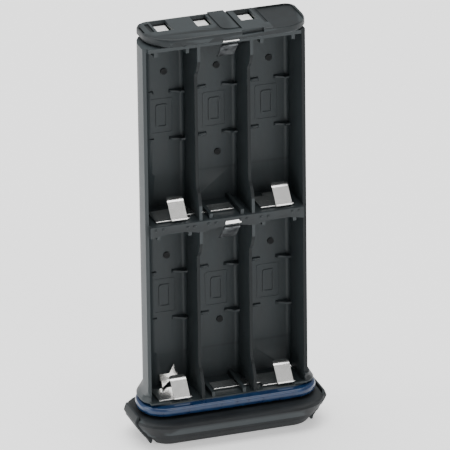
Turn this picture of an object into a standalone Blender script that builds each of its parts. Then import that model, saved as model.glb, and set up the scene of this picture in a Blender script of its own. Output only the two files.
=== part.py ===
"""Six-cell battery tray for a waterproof handheld two-way radio.

The tray stands on its base: +Z up, open cell bays facing -Y, +X to the right.
Sizes are in metres, written as millimetres times MM.
"""
import math
import bmesh
import bpy
from mathutils import Matrix, Vector

MM = 0.001
GAP = 0.3 * MM                  # clearance between touching pieces

# Cell bays: three columns of two AA cells, 14.5 mm across and 50.5 mm long.
PITCH_X = 15.8 * MM             # column to column
BAY_WIDTH = 14.9 * MM
BAY_LENGTH = 53.2 * MM
MID_WALL = 2.8 * MM             # wall between the two rows
PITCH_Z = BAY_LENGTH + MID_WALL
BAY_SHIFT = -0.9 * MM           # the bays stand left of the base's centre, as a key
COLUMNS = (BAY_SHIFT - PITCH_X, BAY_SHIFT, BAY_SHIFT + PITCH_X)

# Levels, from the underside of the base upwards.
FLANGE_TOP = 8.85 * MM
RIM_LOW = 12.95 * MM            # underside of the rim over the seal
LOWER_FLOOR = 12.7 * MM         # end wall that the lower row stands on
UPPER_FLOOR = LOWER_FLOOR + PITCH_Z
TRAY_TOP = UPPER_FLOOR + BAY_LENGTH + 1.1 * MM
CAP_TOP = TRAY_TOP + 2.8 * MM

# Plan sizes.
BODY_WIDTH = 48.6 * MM
BACK = 8.55 * MM                # outer back face
BAY_BACK = BACK - 1.5 * MM      # floor of the bays
POCKET_DEPTH = 0.35 * MM        # how much deeper each bay is near its lower end
RIB_FRONT = -6.75 * MM          # front edge of the end walls and divider ends
SIDE_FRONT = -5.75 * MM         # front edge of the two side walls
DIVIDER_FRONT = -3.75 * MM      # front edge of the dividers between their ends
LEFT_CORNER = 10.5 * MM         # back left corner of the body
RIGHT_CORNER = 4.0 * MM         # back right corner of the body
CRADLE_WALL = 0.6 * MM          # wall left round the left bays' back left corner
CRADLE_STEPS = 6
BAY_CORNER = 1.2 * MM           # inner corner radius of the bays
FLANGE = (58.6 * MM, 26.0 * MM, 11.0 * MM)      # width, depth, corner radius
NECK_HALF = 24.4 * MM
NECK_BACK = 8.0 * MM
NECK_CORNERS = (5.5 * MM, 7.7 * MM, 7.7 * MM, 5.5 * MM)
RIM_HALF = 26.2 * MM
RIM_BACK = 9.8 * MM
SEAL_HALF = (1.15 * MM, 1.75 * MM)              # half thickness and half height of the seal

# Contacts.
SHEET = 0.4 * MM                # spring sheet metal
LEAF_WIDTH = 4.9 * MM
LEAF_RISE = 4.9 * MM
LEAF_LEAN = 4.8 * MM
LEAF_ROOT_Y = -5.8 * MM
LEAF_ROOT_UP = 1.0 * MM         # height of the leaf's bend over its end wall
LEAF_OFFSET = 1.7 * MM          # the leaf sits right of the bay's centre
LEAF_SHEET = 0.35 * MM
PLATE_FRONT = -5.0 * MM
PLATE_BACK = 3.0 * MM
PLATE_HALF = 5.0 * MM           # half width of the plate under a leaf
PAD_HALF = 3.4 * MM             # half width of the plate for a button end

# Squeeze latches.
LATCH_PIVOT = (24.6 * MM, 5.6 * MM)             # x and z of the right pin
LATCH_WIDTH = 11.0 * MM
LATCH_SLOT = 11.6 * MM
PIN_RADIUS = 0.75 * MM
PIN_HOLE = 1.05 * MM

COLOURS = {
    "black_plastic": ((0.030, 0.034, 0.036), 0.42, 0.0),
    "seal_blue": ((0.012, 0.060, 0.170), 0.38, 0.0),
    "contact_metal": ((0.78, 0.78, 0.76), 0.22, 1.0),
    "steel": ((0.55, 0.56, 0.57), 0.30, 1.0),
    "board_green": ((0.030, 0.110, 0.050), 0.55, 0.0),
    "part_epoxy": ((0.300, 0.170, 0.030), 0.50, 0.0),
}


# ---------------------------------------------------------------- helpers
def material(name):
    """One Principled material for each finish."""
    found = bpy.data.materials.get(name)
    if found:
        return found
    colour, roughness, metallic = COLOURS[name]
    made = bpy.data.materials.new(name)
    made.use_nodes = True
    shader = made.node_tree.nodes["Principled BSDF"]
    shader.inputs["Base Color"].default_value = (*colour, 1.0)
    shader.inputs["Roughness"].default_value = roughness
    shader.inputs["Metallic"].default_value = metallic
    return made


def add_object(name, mesh_maker, finish, origin=(0, 0, 0)):
    """Turn a filled bmesh into a named object whose origin is at `origin`."""
    mesh = bpy.data.meshes.new(name)
    bmesh.ops.translate(mesh_maker, verts=mesh_maker.verts, vec=-Vector(origin))
    bmesh.ops.recalc_face_normals(mesh_maker, faces=mesh_maker.faces)
    mesh_maker.to_mesh(mesh)
    mesh_maker.free()
    mesh.shade_smooth()
    mesh.set_sharp_from_angle(angle=math.radians(32))
    mesh.materials.append(material(finish))
    made = bpy.data.objects.new(name, mesh)
    made.location = origin
    bpy.context.collection.objects.link(made)
    return made


def stack(rings):
    """Closed body through rings of points that have equal counts."""
    maker = bmesh.new()
    loops = [[maker.verts.new(point) for point in ring] for ring in rings]
    count = len(loops[0])
    for lower, upper in zip(loops, loops[1:]):
        for i in range(count):
            j = (i + 1) % count
            maker.faces.new((lower[i], lower[j], upper[j], upper[i]))
    maker.faces.new(loops[0][::-1])
    maker.faces.new(loops[-1])
    return maker


def arc(centre, radius, start, end, steps):
    """Points on an arc, angles in degrees."""
    points = []
    for i in range(steps + 1):
        angle = math.radians(start + (end - start) * i / steps)
        points.append((centre[0] + radius * math.cos(angle), centre[1] + radius * math.sin(angle)))
    return points


def rounded(width, depth, radius, inset=0.0, steps=6):
    """Rounded rectangle around the origin, drawn counter-clockwise."""
    half_x = width / 2 - inset
    half_y = depth / 2 - inset
    corner = max(radius - inset, 0.2 * MM)
    outline = []
    for sign_x, sign_y, start in ((1, -1, -90), (1, 1, 0), (-1, 1, 90), (-1, -1, 180)):
        centre = (sign_x * (half_x - corner), sign_y * (half_y - corner))
        outline += arc(centre, corner, start, start + 90, steps)
    return outline


def plan(left, right, front, back, corners, steps=8):
    """Plan with its own radius at each corner: front right, back right, back left, front left."""
    front_right, back_right, back_left, front_left = corners
    outline = arc((right - front_right, front + front_right), front_right, -90, 0, steps)
    outline += arc((right - back_right, back - back_right), back_right, 0, 90, steps)
    outline += arc((left + back_left, back - back_left), back_left, 90, 180, steps)
    outline += arc((left + front_left, front + front_left), front_left, 180, 270, steps)
    return outline


def at_height(outline, z):
    return [(x, y, z) for x, y in outline]


def prism_z(outline, low, high):
    return stack([at_height(outline, low), at_height(outline, high)])


def prism_x(outline, low, high):
    """Outline in Y and Z, run along X."""
    return stack([[(low, y, z) for y, z in outline], [(high, y, z) for y, z in outline]])


def prism_y(outline, low, high):
    """Outline in X and Z, run along Y."""
    return stack([[(x, low, z) for x, z in outline], [(x, high, z) for x, z in outline]])


def box(low, high):
    corners = [(low[0], low[1]), (high[0], low[1]), (high[0], high[1]), (low[0], high[1])]
    return prism_z(corners, low[2], high[2])


def cylinder(base, axis, radius, length, sides=20):
    """Closed cylinder from `base` along the unit vector `axis`."""
    turn = Vector((0, 0, 1)).rotation_difference(Vector(axis)).to_matrix().to_4x4()
    circle = arc((0, 0), radius, 0, 360 * (sides - 1) / sides, sides - 1)
    maker = prism_z(circle, 0, length)
    bmesh.ops.transform(maker, matrix=Matrix.Translation(base) @ turn, verts=maker.verts)
    return maker


def strip(centreline, thickness):
    """Outline of a bent strip of even thickness along a 2-D centreline."""
    left, right = [], []
    for i, point in enumerate(centreline):
        before = Vector(centreline[max(i - 1, 0)])
        after = Vector(centreline[min(i + 1, len(centreline) - 1)])
        along = (after - before).normalized()
        across = Vector((-along.y, along.x)) * thickness / 2
        left.append(tuple(Vector(point) + across))
        right.append(tuple(Vector(point) - across))
    return left + right[::-1]


def combine(body, makers, operation):
    """Union or cut a body with each helper mesh, and leave no helper behind."""
    for maker in makers:
        bmesh.ops.recalc_face_normals(maker, faces=maker.faces)
        mesh = bpy.data.meshes.new("helper")
        maker.to_mesh(mesh)
        maker.free()
        helper = bpy.data.objects.new("helper", mesh)
        helper.hide_render = True
        helper.display_type = "WIRE"
        bpy.context.collection.objects.link(helper)
        modifier = body.modifiers.new("shape", "BOOLEAN")
        modifier.operation = operation
        modifier.solver = "EXACT"
        modifier.object = helper
        evaluated = body.evaluated_get(bpy.context.evaluated_depsgraph_get())
        shaped = bpy.data.meshes.new_from_object(evaluated)
        body.modifiers.clear()
        body.data = shaped
        bpy.data.objects.remove(helper, do_unlink=True)
    return body


# ---------------------------------------------------------------- bay ends
UPPER_CEILING = UPPER_FLOOR + BAY_LENGTH
LOWER_CEILING = LOWER_FLOOR + BAY_LENGTH

# Name, column, level of the end wall, and +1 where the contact faces up.
NEGATIVE_ENDS = (
    ("u1", COLUMNS[0], UPPER_FLOOR, 1),
    ("u2", COLUMNS[1], UPPER_CEILING, -1),
    ("u3", COLUMNS[2], UPPER_FLOOR, 1),
    ("l1", COLUMNS[0], LOWER_FLOOR, 1),
    ("l2", COLUMNS[1], LOWER_CEILING, -1),
    ("l3", COLUMNS[2], LOWER_FLOOR, 1),
)
POSITIVE_ENDS = (
    (COLUMNS[0], UPPER_CEILING, -1),
    (COLUMNS[1], UPPER_FLOOR, 1),
    (COLUMNS[2], UPPER_CEILING, -1),
    (COLUMNS[0], LOWER_CEILING, -1),
    (COLUMNS[1], LOWER_FLOOR, 1),
    (COLUMNS[2], LOWER_CEILING, -1),
)
# Name, column of the negative end, column of the positive end, end wall, facing.
LINKS = (
    ("link_u1_to_u2", COLUMNS[0], COLUMNS[1], UPPER_FLOOR, 1),
    ("link_u2_to_u3", COLUMNS[1], COLUMNS[2], UPPER_CEILING, -1),
    ("link_l3_to_l2", COLUMNS[2], COLUMNS[1], LOWER_FLOOR, 1),
    ("link_l2_to_l1", COLUMNS[1], COLUMNS[0], LOWER_CEILING, -1),
)
LINK_FRONT = -2.6 * MM
LINK_BACK = 2.0 * MM
RISER_WIDTH = 2.6 * MM
RISER_Y = 3.6 * MM
RISER_X = (COLUMNS[0], COLUMNS[2] - 1.6 * MM)   # positive output, and the sense tap
MID_PASS_Y = 4.8 * MM
MID_PASS_WIDTH = 3.0 * MM
STRAP_X = BAY_SHIFT - 14.2 * MM
STRAP_WIDTH = 1.6 * MM
STRAP_SHEET = 0.3 * MM
GROOVE_DEPTH = 0.75 * MM
STRAP_Y = BACK - 0.3 * MM                   # middle of the strap in its groove
STRAP_ENTRY = LOWER_FLOOR + 2.4 * MM        # where the strap enters the bay
BOARD_LOW = TRAY_TOP + GAP
BOARD_SHEET = 0.5 * MM
SCREW_X = (-16.5 * MM, 16.5 * MM)


def sheet_levels(end, facing):
    """Lowest and highest level of a contact plate lying on an end wall."""
    near = end + facing * GAP
    far = near + facing * SHEET
    return min(near, far), max(near, far)


# ---------------------------------------------------------------- tray
def body_outline():
    """Plan of the tray: square front, and a well rounded back left corner."""
    half = BODY_WIDTH / 2
    corners = (0.4 * MM, RIGHT_CORNER, LEFT_CORNER, 0.4 * MM)
    return plan(BAY_SHIFT - half, BAY_SHIFT + half, RIB_FRONT, BACK, corners)


def rim_outline(inset):
    """Plan of the rim over the seal; it leaves the front open."""
    half = RIM_HALF - inset
    corners = (5.0 * MM, 8.3 * MM - inset, 8.3 * MM - inset, 5.0 * MM)
    return plan(-half, half, RIB_FRONT - 0.05 * MM, RIM_BACK - inset, corners)


def neck_outline(grow, steps=8):
    """Plan of the neck that the seal goes round, `grow` outside it."""
    corners = [corner + grow for corner in NECK_CORNERS]
    return plan(-NECK_HALF - grow, NECK_HALF + grow, RIB_FRONT - grow, NECK_BACK + grow, corners, steps)


def bay_outline(column, back):
    """Plan of one bay; the left bays follow the body's rounded corner."""
    half = BAY_WIDTH / 2
    front = RIB_FRONT - 6 * MM
    outline = [(column - half, front), (column + half, front)]
    right = (column + half - BAY_CORNER, back - BAY_CORNER)
    outline += arc(right, BAY_CORNER, 0, 90, CRADLE_STEPS)
    if column == COLUMNS[0]:
        return outline + cradle(back)
    return outline + arc((column - half + BAY_CORNER, right[1]), BAY_CORNER, 90, 180, CRADLE_STEPS)


def cradle(back):
    """Back left corner of a left bay, one wall thickness inside the body's own corner."""
    centre_x = BAY_SHIFT - BODY_WIDTH / 2 + LEFT_CORNER
    centre_y = BACK - LEFT_CORNER
    radius = LEFT_CORNER - CRADLE_WALL
    wall_x = COLUMNS[0] - BAY_WIDTH / 2
    start = 180 - math.degrees(math.asin((back - centre_y) / radius))
    end = 180 - math.degrees(math.acos((centre_x - wall_x) / radius))
    return arc((centre_x, centre_y), radius, start, end, CRADLE_STEPS)


def bay_cutter(column, floor):
    """One bay: a deeper pocket at its lower end, and two saddle ribs on its floor."""
    plain = bay_outline(column, BAY_BACK)
    pocket = bay_outline(column, BAY_BACK + POCKET_DEPTH)
    ribbed = [(x, min(y, BAY_BACK - 0.5 * MM)) for x, y in plain]
    levels = [(floor, pocket), (floor + 9.6 * MM, pocket), (floor + 10.4 * MM, plain)]
    for z in (floor + 20.8 * MM, floor + 35.4 * MM):
        levels += [(z - 0.6 * MM, plain), (z - 0.3 * MM, ribbed)]
        levels += [(z + 0.3 * MM, ribbed), (z + 0.6 * MM, plain)]
    levels.append((floor + BAY_LENGTH, plain))
    return stack([at_height(outline, z) for z, outline in levels])


def divider_trim(floor):
    """Cutter that lowers the dividers' front edges between their raised ends."""
    low = floor + 0.5 * MM
    high = floor + BAY_LENGTH - 0.5 * MM
    front = RIB_FRONT - 3 * MM
    flare = DIVIDER_FRONT - RIB_FRONT
    outline = [(front, low + 4 * MM), (RIB_FRONT, low + 4 * MM)]
    outline += arc((RIB_FRONT, low + 4 * MM + 2 * flare), flare, -60, 0, 4)
    outline += arc((RIB_FRONT, high - 4 * MM - 2 * flare), flare, 0, 60, 4)
    outline += [(RIB_FRONT, high - 4 * MM), (front, high - 4 * MM)]
    inner = BODY_WIDTH / 2 - 1.5 * MM
    return prism_x(outline, BAY_SHIFT - inner, BAY_SHIFT + inner)


def side_trims():
    """Cutters that set the two side walls back from the end walls."""
    inner = BODY_WIDTH / 2 - 1.5 * MM
    outer = BODY_WIDTH / 2 + 3 * MM
    made = []
    for low_x, high_x in ((-outer, -inner), (inner, outer)):
        made.append(box((BAY_SHIFT + low_x, RIB_FRONT - 3 * MM, LOWER_FLOOR + 3 * MM),
                        (BAY_SHIFT + high_x, SIDE_FRONT, TRAY_TOP + 1 * MM)))
    return made


def guard_ribs():
    """Ribs beside each positive contact, so that a reversed cell can't touch it."""
    made = []
    for column, end, facing in POSITIVE_ENDS:
        buried = end - facing * 0.5 * MM
        tip = end + facing * 1.5 * MM
        for side in (-1, 1):
            x = column + side * 4.7 * MM
            made.append(box((x - 0.5 * MM, RIB_FRONT + 0.4 * MM, min(buried, tip)),
                            (x + 0.5 * MM, BAY_BACK + 0.5 * MM, max(buried, tip))))
    return made


def contact_slots():
    """Cutters for the contact strips that pass through the tray's walls."""
    made = []
    for _, negative, positive, end, facing in LINKS:
        low, high = sheet_levels(end, facing)
        made.append(box((min(negative, positive), LINK_FRONT - GAP, low - GAP),
                        (max(negative, positive), LINK_BACK + GAP, high + GAP)))
    for x in RISER_X:
        made.append(box((x - RISER_WIDTH / 2 - GAP, RISER_Y - 0.5 * MM, UPPER_CEILING - 1 * MM),
                        (x + RISER_WIDTH / 2 + GAP, RISER_Y + 0.5 * MM, TRAY_TOP + 1 * MM)))
    half = MID_PASS_WIDTH / 2 + GAP
    made.append(box((COLUMNS[2] - half, MID_PASS_Y - 0.5 * MM, LOWER_CEILING - 1 * MM),
                    (COLUMNS[2] + half, MID_PASS_Y + 0.5 * MM, UPPER_FLOOR + 1 * MM)))
    half = STRAP_WIDTH / 2 + GAP
    made.append(box((STRAP_X - half, BACK - GROOVE_DEPTH, STRAP_ENTRY - 0.5 * MM),
                    (STRAP_X + half, BACK + 1 * MM, TRAY_TOP + 1 * MM)))
    made.append(box((STRAP_X - half, BAY_BACK - 1 * MM, STRAP_ENTRY - 0.5 * MM),
                    (STRAP_X + half, BACK, STRAP_ENTRY + 0.5 * MM)))
    return made


def corner_floors():
    """Floors of the two outer front corners, where the rim stands out past the neck."""
    made = []
    low, high = RIM_LOW + 0.02 * MM, RIM_LOW + 0.5 * MM
    for side, wall in ((-1, COLUMNS[0] - BAY_WIDTH / 2), (1, COLUMNS[2] + BAY_WIDTH / 2)):
        corner = NECK_CORNERS[0]
        centre = (side * (NECK_HALF - corner), RIB_FRONT + corner)
        turns = (-90, 0) if side > 0 else (-90, -180)
        edge = arc(centre, corner - 0.3 * MM, *turns, 6)
        outer = wall + side * 0.5 * MM
        kept = [point for point in edge if side * point[0] < side * outer]
        last = kept[-1][1]
        front = RIB_FRONT + 0.02 * MM
        outline = kept + [(outer, last), (outer, front), (kept[0][0], front)]
        made.append(prism_z(outline, low, high))
    return made


def make_tray():
    rings = [
        at_height(neck_outline(0.0), FLANGE_TOP + GAP),
        at_height(neck_outline(0.0), RIM_LOW),
        at_height(rim_outline(0.0), RIM_LOW),
        at_height(rim_outline(0.0), RIM_LOW + 0.4 * MM),
        at_height(rim_outline(0.8 * MM), RIM_LOW + 1.7 * MM),
        at_height(body_outline(), RIM_LOW + 4.6 * MM),
        at_height(body_outline(), TRAY_TOP),
    ]
    tray = add_object("tray_body", stack(rings), "black_plastic")
    cutters = [bay_cutter(column, floor) for floor in (LOWER_FLOOR, UPPER_FLOOR) for column in COLUMNS]
    cutters += [divider_trim(LOWER_FLOOR), divider_trim(UPPER_FLOOR)]
    combine(tray, cutters + side_trims(), "DIFFERENCE")
    combine(tray, guard_ribs() + corner_floors(), "UNION")
    holes = [cylinder((x, 0, FLANGE_TOP), (0, 0, 1), 1.3 * MM, 2.8 * MM, 16) for x in SCREW_X]
    return combine(tray, contact_slots() + holes, "DIFFERENCE")


# ---------------------------------------------------------------- contacts
def link_outline(negative, positive):
    """Plan of a link: wide plate under the leaf, bar, and plate for the button end."""
    toward = 1 if positive > negative else -1
    outer = negative - toward * PLATE_HALF
    near = negative + toward * PLATE_HALF
    far = positive + toward * PAD_HALF
    return [
        (outer, PLATE_FRONT), (near, PLATE_FRONT), (near, LINK_FRONT), (far, LINK_FRONT),
        (far, LINK_BACK), (near, LINK_BACK), (near, PLATE_BACK), (outer, PLATE_BACK),
    ]


def make_links():
    for name, negative, positive, end, facing in LINKS:
        low, high = sheet_levels(end, facing)
        link = add_object(name, prism_z(link_outline(negative, positive), low, high), "contact_metal")
        if name == "link_u2_to_u3":
            combine(link, [ceiling_foot(RISER_X[1]), riser(RISER_X[1], low)], "UNION")


def ceiling_foot(x):
    """Strip of a ceiling contact that runs back to its riser."""
    low, high = sheet_levels(UPPER_CEILING, -1)
    return box((x - RISER_WIDTH / 2, LINK_FRONT, low), (x + RISER_WIDTH / 2, RISER_Y + SHEET / 2, high))


def riser(x, low):
    """Upright strip from a ceiling contact to the underside of the board."""
    return box((x - RISER_WIDTH / 2, RISER_Y - SHEET / 2, low),
               (x + RISER_WIDTH / 2, RISER_Y + SHEET / 2, TRAY_TOP))


def make_positive_output():
    """Contact for the first cell's button end, with its riser."""
    low, high = sheet_levels(UPPER_CEILING, -1)
    x = COLUMNS[0]
    plate = box((x - PAD_HALF, LINK_FRONT, low), (x + PAD_HALF, RISER_Y + SHEET / 2, high))
    contact = add_object("contact_u1_positive", plate, "contact_metal")
    combine(contact, [riser(x, low)], "UNION")


def make_row_link():
    """Contact that joins the third column's two cells through the middle wall."""
    upper = sheet_levels(UPPER_FLOOR, 1)
    lower = sheet_levels(LOWER_CEILING, -1)
    x = COLUMNS[2]
    half = MID_PASS_WIDTH / 2
    plate = box((x - PLATE_HALF, PLATE_FRONT, upper[0]), (x + PLATE_HALF, PLATE_BACK, upper[1]))
    link = add_object("link_u3_to_l3", plate, "contact_metal")
    tongue = box((x - half, LINK_BACK, upper[0]), (x + half, MID_PASS_Y + SHEET / 2, upper[1]))
    wall = box((x - half, MID_PASS_Y - SHEET / 2, lower[0]), (x + half, MID_PASS_Y + SHEET / 2, upper[1]))
    pad = box((x - PAD_HALF, LINK_FRONT, lower[0]), (x + PAD_HALF, LINK_BACK, lower[1]))
    foot = box((x - half, LINK_BACK - 1 * MM, lower[0]), (x + half, MID_PASS_Y + SHEET / 2, lower[1]))
    combine(link, [tongue, wall, foot, pad], "UNION")


# The tab that ends the return strap, seen from the front (x, z) and from above (x, y).
TAB_TEE = (
    (-17.8, 14.0), (-12.4, 14.0), (-12.4, 16.2), (-13.0, 16.2), (-13.5, 19.0), (-14.8, 16.2), (-17.8, 16.2),
)
TAB_WEDGE = ((-17.3, 6.6), (-19.5, -2.2), (-18.5, 1.8), (-14.3, 6.6))
TAB_ANKLE = (-17.1, -14.5)


def make_return_contact():
    """The last cell's plate, and the tab that ends the return strap."""
    low, high = sheet_levels(LOWER_FLOOR, 1)
    x = COLUMNS[0]
    plate = box((x - PLATE_HALF, PLATE_FRONT, low), (x + PLATE_HALF, PLATE_BACK, high))
    add_object("contact_l1_negative", plate, "contact_metal")
    front = BAY_BACK - GAP - SHEET
    tee = prism_y([(px * MM, pz * MM) for px, pz in TAB_TEE], front, front + SHEET)
    tab = add_object("return_tab", tee, "contact_metal")
    foot_low = high + GAP
    foot = prism_z([(px * MM, py * MM) for px, py in TAB_WEDGE], foot_low, foot_low + SHEET)
    left, right = (edge * MM for edge in TAB_ANKLE)
    ankle = box((left, front, foot_low), (right, front + SHEET, 15 * MM))
    combine(tab, [foot, ankle], "UNION")


def make_leaf(name, column, end, facing):
    """Spring leaf of a negative contact, bent up from its root."""
    root_z = end + facing * LEAF_ROOT_UP
    lean, rise = LEAF_LEAN, facing * LEAF_RISE
    course = [(0, 0), (0.86 * lean, 0.90 * rise), (1.0 * lean, 0.97 * rise), (1.16 * lean, 0.93 * rise)]
    centreline = [(LEAF_ROOT_Y + y, root_z + z) for y, z in course]
    middle = column + LEAF_OFFSET
    leaf = prism_x(strip(centreline, LEAF_SHEET), middle - LEAF_WIDTH / 2, middle + LEAF_WIDTH / 2)
    add_object("leaf_" + name, leaf, "contact_metal", (middle, LEAF_ROOT_Y, root_z))


def make_strap():
    """Return strap in the groove down the tray's back."""
    bay_end = BAY_BACK + 0.1 * MM
    course = [(bay_end, STRAP_ENTRY), (STRAP_Y - 0.15 * MM, STRAP_ENTRY),
              (STRAP_Y, STRAP_ENTRY + 0.15 * MM), (STRAP_Y, BOARD_LOW + BOARD_SHEET)]
    strap = prism_x(strip(course, STRAP_SHEET), STRAP_X - STRAP_WIDTH / 2, STRAP_X + STRAP_WIDTH / 2)
    add_object("return_strap", strap, "contact_metal")


# ---------------------------------------------------------------- top cap
CAP_LEFT, CAP_RIGHT = -23.4 * MM, 24.6 * MM
CAP_CORNERS = (8.0 * MM, 3.2 * MM, 4.0 * MM, 9.0 * MM)
CAP_WALL = 1.3 * MM
CAP_ROOF = 0.9 * MM
WINDOW_SIZE = (4.7 * MM, 7.8 * MM)
WINDOWS = (("positive", -16.6 * MM), ("sense", -4.6 * MM), ("negative", 8.5 * MM))
WINDOW_Y = 3.2 * MM
PAD_SIDE = 2.15 * MM            # half width of a terminal pad
KEY_GROOVE = (3.5 * MM, 4.4 * MM)
FRONT_NOTCH = (3.7 * MM, 10.2 * MM)
RECESS_LEFT = 13.0 * MM
BOARD_BACK = BACK - CAP_WALL - GAP
BOARD_FRONT = -4.0 * MM
BOARD_HALF = 19.4 * MM


def cap_outline(inset):
    corners = [corner - inset for corner in CAP_CORNERS]
    return plan(CAP_LEFT + inset, CAP_RIGHT - inset, -BACK + inset, BACK - inset, corners)


def make_cap():
    low = TRAY_TOP + GAP
    rings = [at_height(cap_outline(inset), z) for inset, z in (
        (0.3 * MM, low), (0.0, low + 0.4 * MM), (0.0, CAP_TOP - 0.8 * MM),
        (0.25 * MM, CAP_TOP - 0.25 * MM), (0.7 * MM, CAP_TOP))]
    cap = add_object("top_cap", stack(rings), "black_plastic")
    above = CAP_TOP + 1 * MM
    cutters = [prism_z(cap_outline(CAP_WALL), low - 1 * MM, CAP_TOP - CAP_ROOF)]
    half_x, half_y = WINDOW_SIZE[0] / 2, WINDOW_SIZE[1] / 2
    for _, x in WINDOWS:
        cutters.append(box((x - half_x, WINDOW_Y - half_y, CAP_TOP - 2 * MM),
                           (x + half_x, WINDOW_Y + half_y, above)))
    half = STRAP_WIDTH / 2 + GAP
    cutters.append(box((STRAP_X - half, BOARD_BACK - 1 * MM, low - 1 * MM),
                       (STRAP_X + half, BACK + 1 * MM, BOARD_LOW + BOARD_SHEET + GAP)))
    left, right = KEY_GROOVE
    cutters.append(box((left, -6.4 * MM, CAP_TOP - 0.5 * MM), (right, BACK + 1 * MM, above)))
    left, right = FRONT_NOTCH
    cutters.append(box((left, -BACK - 1 * MM, CAP_TOP - 1.2 * MM), (right, 0.9 * MM - BACK, above)))
    corners = (0.3 * MM, 2 * MM, 1 * MM, 0.3 * MM)
    recess = plan(RECESS_LEFT, CAP_RIGHT - 1.2 * MM, -BACK - 1 * MM, BACK - 1.2 * MM, corners)
    cutters.append(prism_z(recess, CAP_TOP - 0.4 * MM, above))
    return combine(cap, cutters, "DIFFERENCE")


def make_board():
    sheet = box((-BOARD_HALF, BOARD_FRONT, BOARD_LOW), (BOARD_HALF, BOARD_BACK, BOARD_LOW + BOARD_SHEET))
    board = add_object("terminal_board", sheet, "board_green")
    top = BOARD_LOW + BOARD_SHEET
    for name, x in WINDOWS:
        pad = box((x - PAD_SIDE, WINDOW_Y - 3.7 * MM, top + GAP),
                  (x + PAD_SIDE, BOARD_BACK - 0.1 * MM, top + 2 * GAP))
        add_object("terminal_" + name, pad, "contact_metal")
    fuse = box((-12.0 * MM, -3.6 * MM, top + GAP), (-8.8 * MM, -1.2 * MM, top + 0.8 * MM))
    add_object("resettable_fuse", fuse, "part_epoxy")
    resistor = box((1.0 * MM, -3.6 * MM, top + GAP), (3.0 * MM, -2.3 * MM, top + 0.75 * MM))
    add_object("sense_resistor", resistor, "part_epoxy")
    return board


# ---------------------------------------------------------------- base
def make_seal():
    """Blue seal: a tall oval section run round the neck."""
    half_thick, half_high = SEAL_HALF
    path = neck_outline(GAP + half_thick, steps=7)
    centre_z = FLANGE_TOP + GAP + half_high
    maker = bmesh.new()
    loops = []
    for i, point in enumerate(path):
        before, after = Vector(path[i - 1]), Vector(path[(i + 1) % len(path)])
        along = (after - before).normalized()
        out = Vector((along.y, -along.x))
        ring = []
        for turn in range(10):
            angle = math.tau * turn / 10
            reach = Vector(point) + out * half_thick * math.cos(angle)
            ring.append(maker.verts.new((reach.x, reach.y, centre_z + half_high * math.sin(angle))))
        loops.append(ring)
    for i, ring in enumerate(loops):
        following = loops[(i + 1) % len(loops)]
        for j in range(10):
            k = (j + 1) % 10
            maker.faces.new((ring[j], ring[k], following[k], following[j]))
    return add_object("seal_ring", maker, "seal_blue")

SKIRT = (                       # level, and how far the wall stands inside the flange
    (0.0, 6.2), (0.6, 5.0), (1.6, 4.2), (3.0, 3.1), (3.1, 2.8), (4.6, 1.9), (4.7, 1.6), (6.2, 0.6),
    (7.4, 0.0), (8.1, 0.2), (8.85, 1.5),
)

SPRING_Z = 2.8 * MM
SPRING_START = 19.7 * MM
SPRING_LENGTH = 3.9 * MM
SPRING_COIL = 1.1 * MM
SPRING_WIRE = 0.17 * MM
SPRING_TURNS = 4
LATCH_EDGE = FLANGE[0] / 2 / MM
LATCH_PROFILE = (               # x and z of the right lever, from its lower tip round to its inner side
    (24.9, 0.5), (25.2, 1.6), (26.2, 3.0), (26.5, 3.1), (27.4, 4.6), (27.7, 4.7), (28.7, 6.2),
    (LATCH_EDGE, 7.4), (29.1, 8.1), (28.8, 8.9), (28.5, 9.5), (27.95, 9.5), (27.9, 7.15),
    (23.4, 7.1), (22.9, 6.2), (22.9, 5.0), (23.4, 4.6), (24.0, 4.1), (24.1, 1.2), (24.3, 0.5),
)


def make_base():
    width, depth, corner = FLANGE
    rings = [at_height(rounded(width, depth, corner, inset=inset * MM, steps=7), z * MM)
             for z, inset in SKIRT]
    base = add_object("base_cap", stack(rings), "black_plastic")
    cutters = [prism_z(rounded(26 * MM, 9.6 * MM, 2 * MM), 1.8 * MM, FLANGE_TOP + 1 * MM)]
    for side in (-1, 1):
        outer = side * 33 * MM
        half = LATCH_SLOT / 2
        for inner, low, high in ((side * 22.0 * MM, -1 * MM, 7.6 * MM), (side * 27.6 * MM, 7.5 * MM, 10 * MM)):
            cutters.append(box((min(inner, outer), -half, low), (max(inner, outer), half, high)))
        pin_x = side * LATCH_PIVOT[0]
        cutters.append(cylinder((pin_x, -7.8 * MM, LATCH_PIVOT[1]), (0, 1, 0), PIN_HOLE, 15.6 * MM, 16))
        cutters.append(cylinder((side * 19.4 * MM, 0, SPRING_Z), (side, 0, 0), 1.6 * MM, 4 * MM, 16))
    for x in SCREW_X:
        cutters.append(cylinder((x, 0, -1 * MM), (0, 0, 1), 1.3 * MM, 11 * MM, 16))
        cutters.append(cylinder((x, 0, -1 * MM), (0, 0, 1), 2.3 * MM, 3.2 * MM, 20))
    return combine(base, cutters, "DIFFERENCE")


def make_latch(side):
    """Squeeze lever: finger pad below its pin, flush with the skirt, and a catch nose above it."""
    name = "right" if side > 0 else "left"
    pivot_x, pivot_z = LATCH_PIVOT
    outline = [(side * x * MM, z * MM) for x, z in LATCH_PROFILE]
    half = LATCH_WIDTH / 2
    lever = add_object("latch_" + name, prism_y(outline, -half, half), "black_plastic",
                       (side * pivot_x, 0, pivot_z))
    lever_bore = cylinder((side * pivot_x, -10 * MM, pivot_z), (0, 1, 0), PIN_HOLE, 20 * MM, 16)
    combine_placed(lever, [lever_bore], "DIFFERENCE")
    pin = cylinder((side * pivot_x, -7.4 * MM, pivot_z), (0, 1, 0), PIN_RADIUS, 14.8 * MM, 16)
    add_object("latch_pin_" + name, pin, "steel")


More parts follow.
